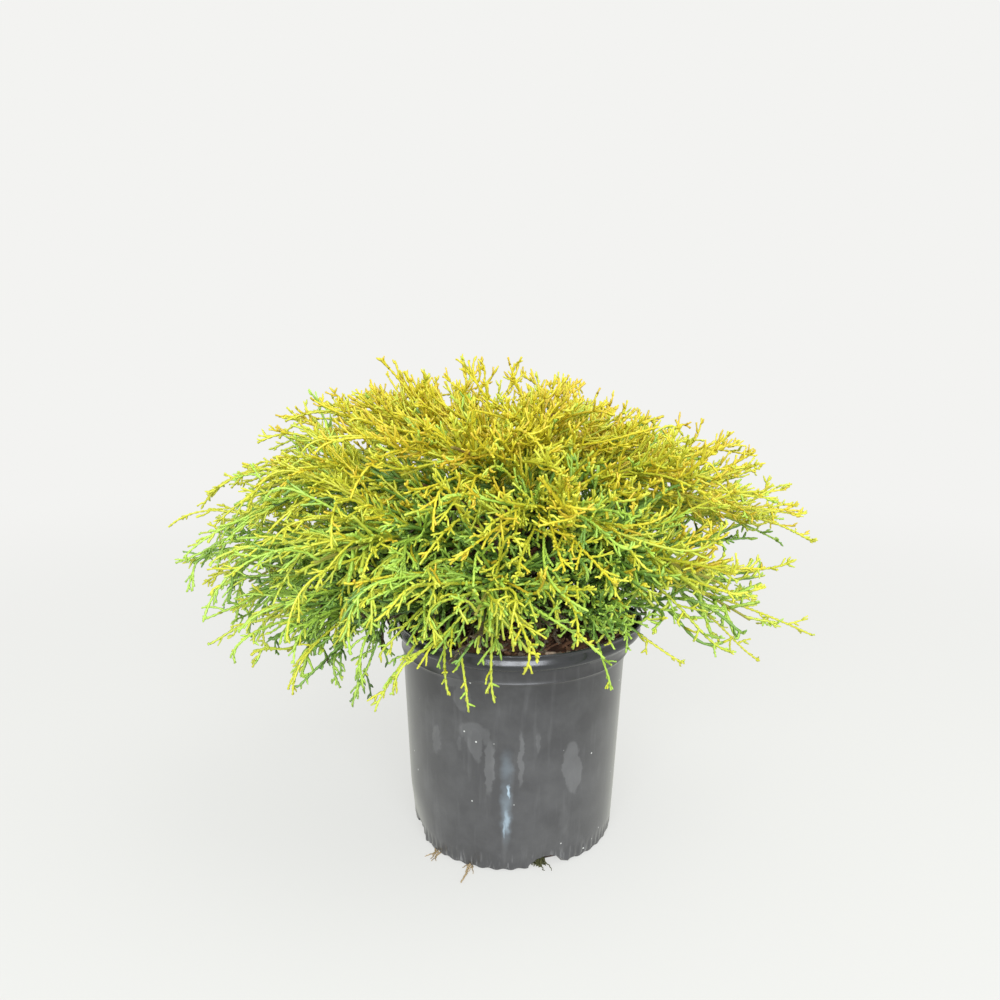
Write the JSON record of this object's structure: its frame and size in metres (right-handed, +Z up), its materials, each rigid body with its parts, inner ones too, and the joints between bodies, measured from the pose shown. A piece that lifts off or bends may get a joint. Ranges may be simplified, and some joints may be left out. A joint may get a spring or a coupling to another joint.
{
  "type": "potted threadleaf cypress shrub",
  "caption": "Low golden mop of a threadleaf conifer, weeping cord-like sprays on short arching boughs, growing in a round black nursery pot.",
  "frame": {"origin": "middle of the pot's flat underside, at floor level", "axes": "+Z up along the pot's axis, -Y towards the side the plant is viewed from, +X to its right"},
  "size_m": [0.467, 0.3496, 0.346],
  "materials": {
    "black_polyethylene": "satin black polyethylene, blow-moulded, with a dusty film and water marks",
    "bark_mix": "moist reddish-brown composted bark with loose chips",
    "cypress_bark": "thin reddish-brown bark that peels in fine strips",
    "threadleaf_foliage": "golden-yellow to green scale leaves, pressed to cord-like shoots, satin"
  },
  "bodies": {
    "root": {"pot": "black_polyethylene", "root_ball": "bark_mix", "trunk": "cypress_bark", "bough_01": "cypress_bark", "bough_02": "cypress_bark", "bough_03": "cypress_bark", "bough_04": "cypress_bark", "bough_05": "cypress_bark", "bough_06": "cypress_bark", "bough_07": "cypress_bark", "bough_08": "cypress_bark", "bough_09": "cypress_bark", "bough_10": "cypress_bark", "bough_11": "cypress_bark", "bough_12": "cypress_bark", "bough_13": "cypress_bark", "bough_14": "cypress_bark", "bough_15": "cypress_bark", "bough_16": "cypress_bark", "bough_17": "cypress_bark", "bough_18": "cypress_bark", "bough_19": "cypress_bark", "bough_20": "cypress_bark", "bough_21": "cypress_bark", "bough_22": "cypress_bark", "bough_23": "cypress_bark", "bough_24": "cypress_bark", "bough_25": "cypress_bark", "foliage_01": "threadleaf_foliage", "foliage_02": "threadleaf_foliage", "foliage_03": "threadleaf_foliage", "foliage_04": "threadleaf_foliage", "foliage_05": "threadleaf_foliage", "foliage_06": "threadleaf_foliage", "foliage_07": "threadleaf_foliage", "foliage_08": "threadleaf_foliage", "foliage_09": "threadleaf_foliage", "foliage_10": "threadleaf_foliage", "foliage_11": "threadleaf_foliage", "foliage_12": "threadleaf_foliage", "foliage_13": "threadleaf_foliage", "foliage_14": "threadleaf_foliage", "foliage_15": "threadleaf_foliage", "foliage_16": "threadleaf_foliage", "foliage_17": "threadleaf_foliage", "foliage_18": "threadleaf_foliage", "foliage_19": "threadleaf_foliage", "foliage_20": "threadleaf_foliage", "foliage_21": "threadleaf_foliage", "foliage_22": "threadleaf_foliage", "foliage_23": "threadleaf_foliage", "foliage_24": "threadleaf_foliage", "foliage_25": "threadleaf_foliage"}
  },
  "joints": []
}
